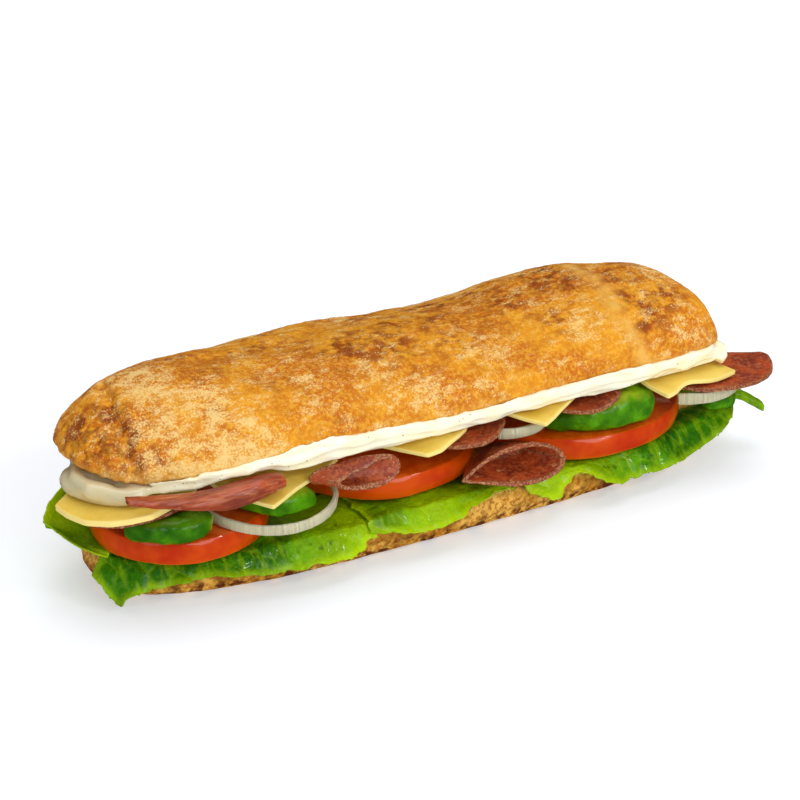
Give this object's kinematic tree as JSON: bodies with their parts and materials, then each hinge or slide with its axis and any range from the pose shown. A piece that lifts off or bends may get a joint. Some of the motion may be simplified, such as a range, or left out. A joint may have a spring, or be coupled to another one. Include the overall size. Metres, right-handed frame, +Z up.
{
  "type": "submarine sandwich",
  "caption": "Long crusty roll split lengthwise and filled with lettuce, tomato, avocado, onion, salami, cheese and mayonnaise, resting on its flat base.",
  "frame": {"origin": "middle of the lower bread's flat underside", "axes": "+X along the loaf, +Z up from the base, and -Y towards the side that the picture shows"},
  "size_m": [0.3091, 0.1055, 0.0814],
  "materials": {
    "crust": "floury, golden baked crust",
    "crust_base": "pale crumb with a browned crust",
    "mayonnaise": "creamy and glossy",
    "leaf": "wet, veined leaf",
    "tomato": "wet skin",
    "avocado": "smooth, moist flesh",
    "onion": "pale and slightly clear",
    "salami": "cured meat with fat specks",
    "cheese": "smooth and slightly oily"
  },
  "bodies": {
    "root": {"bread_bottom": "crust_base", "bread_top": "crust", "mayonnaise": "mayonnaise", "leaf_left_end": "leaf", "leaf_front_left": "leaf", "leaf_front_middle": "leaf", "leaf_front_right": "leaf", "leaf_back_right": "leaf", "leaf_back_left": "leaf", "leaf_rib": "leaf", "tomato_left": "tomato", "tomato_middle": "tomato", "tomato_right": "tomato", "tomato_back_left": "tomato", "tomato_back_middle": "tomato", "tomato_back_right": "tomato", "avocado_left": "avocado", "avocado_middle": "avocado", "avocado_right": "avocado", "avocado_right_end": "avocado", "avocado_back_left": "avocado", "avocado_back_right": "avocado", "onion_front_left": "onion", "onion_middle": "onion", "onion_right": "onion", "onion_back": "onion", "salami_left": "salami", "salami_middle": "salami", "salami_right": "salami", "salami_right_end": "salami", "salami_back_left": "salami", "salami_back_middle": "salami", "salami_back_right": "salami", "salami_pocket_large": "salami", "salami_pocket_small": "salami", "salami_folded": "salami", "cheese_left": "cheese", "cheese_left_middle": "cheese", "cheese_middle": "cheese", "cheese_right_middle": "cheese", "cheese_right": "cheese"}
  },
  "joints": []
}
